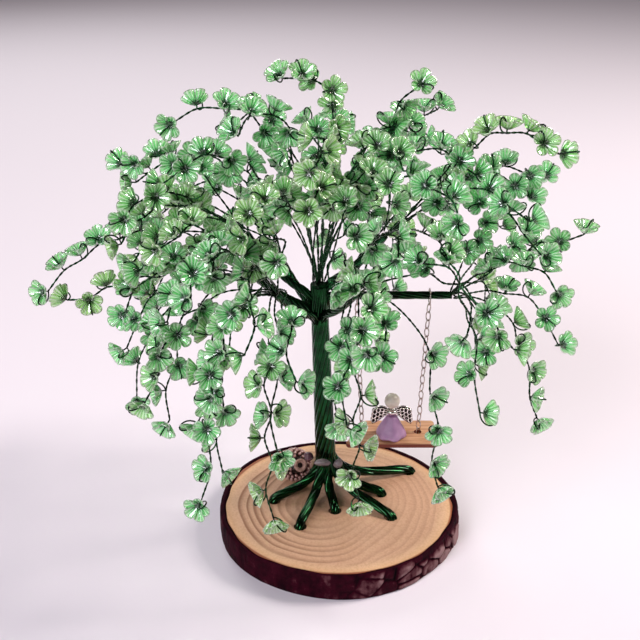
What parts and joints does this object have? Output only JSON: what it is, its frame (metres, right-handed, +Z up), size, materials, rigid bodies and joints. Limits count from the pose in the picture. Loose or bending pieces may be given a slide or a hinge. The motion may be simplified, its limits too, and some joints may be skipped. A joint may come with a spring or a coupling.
{
  "type": "wire tree sculpture",
  "caption": "Bead-and-wire weeping tree on a slice of log, its roots set in the wood, with a small bead angel on a wooden swing hung by chains from one limb.",
  "frame": {"origin": "middle of the log slice's underside, on the surface that it stands on", "axes": "+Z up, +X towards the swing's side of the tree, -Y towards the front"},
  "size_m": [0.1986, 0.1538, 0.1793],
  "materials": {
    "slice_wood": "sanded log slice with its bark left on",
    "green_wire": "dark green enamelled copper wire, glossy",
    "flower_beads": "pale green clear acrylic with a rainbow coat",
    "chain_metal": "bright plated chain",
    "seat_wood": "bare craft wood",
    "skirt_acrylic": "frosted lavender acrylic",
    "wing_metal": "antiqued silver casting",
    "pearl": "cream pearl coat",
    "cone_scales": "dark brown varnished scales",
    "chip_stone": "tumbled quartz"
  },
  "bodies": {
    "tree": {"wood_slice": "slice_wood", "trunk_and_roots": "green_wire", "limb_left_upper": "green_wire", "limb_left": "green_wire", "limb_front_left": "green_wire", "limb_front_right": "green_wire", "limb_right": "green_wire", "limb_right_upper": "green_wire", "limb_back_right": "green_wire", "limb_back_left": "green_wire", "branch_01": "flower_beads", "branch_02": "flower_beads", "branch_03": "flower_beads", "branch_04": "flower_beads", "branch_05": "flower_beads", "branch_06": "flower_beads", "branch_07": "flower_beads", "branch_08": "flower_beads", "branch_09": "flower_beads", "branch_10": "flower_beads", "branch_11": "flower_beads", "branch_12": "flower_beads", "branch_13": "flower_beads", "branch_14": "flower_beads", "branch_15": "flower_beads", "branch_16": "flower_beads", "branch_17": "flower_beads", "branch_18": "flower_beads", "branch_19": "flower_beads", "branch_20": "flower_beads", "branch_21": "flower_beads", "branch_22": "flower_beads", "branch_23": "flower_beads", "branch_24": "flower_beads", "branch_25": "flower_beads", "branch_26": "flower_beads", "branch_27": "flower_beads", "branch_28": "flower_beads", "branch_29": "flower_beads", "branch_30": "flower_beads", "branch_31": "flower_beads", "branch_32": "flower_beads", "branch_33": "flower_beads", "branch_34": "flower_beads", "branch_35": "flower_beads", "branch_36": "flower_beads", "branch_37": "flower_beads", "branch_38": "flower_beads", "branch_39": "flower_beads", "branch_40": "flower_beads", "pine_cone": "cone_scales", "chip_front": "chip_stone", "chip_left": "chip_stone", "chip_right": "chip_stone"},
    "swing": {"chain_left": "chain_metal", "chain_right": "chain_metal", "swing_seat": "seat_wood", "angel_skirt": "skirt_acrylic", "angel_wings": "wing_metal", "angel_pearl": "pearl"}
  },
  "joints": [
    {"name": "swing_hang", "type": "hinge", "parent": "tree", "child": "swing", "pos_m": [0.01975, 0.007, 0.0965], "axis": [1, 0, 0], "range_deg": [-15, 15]}
  ]
}
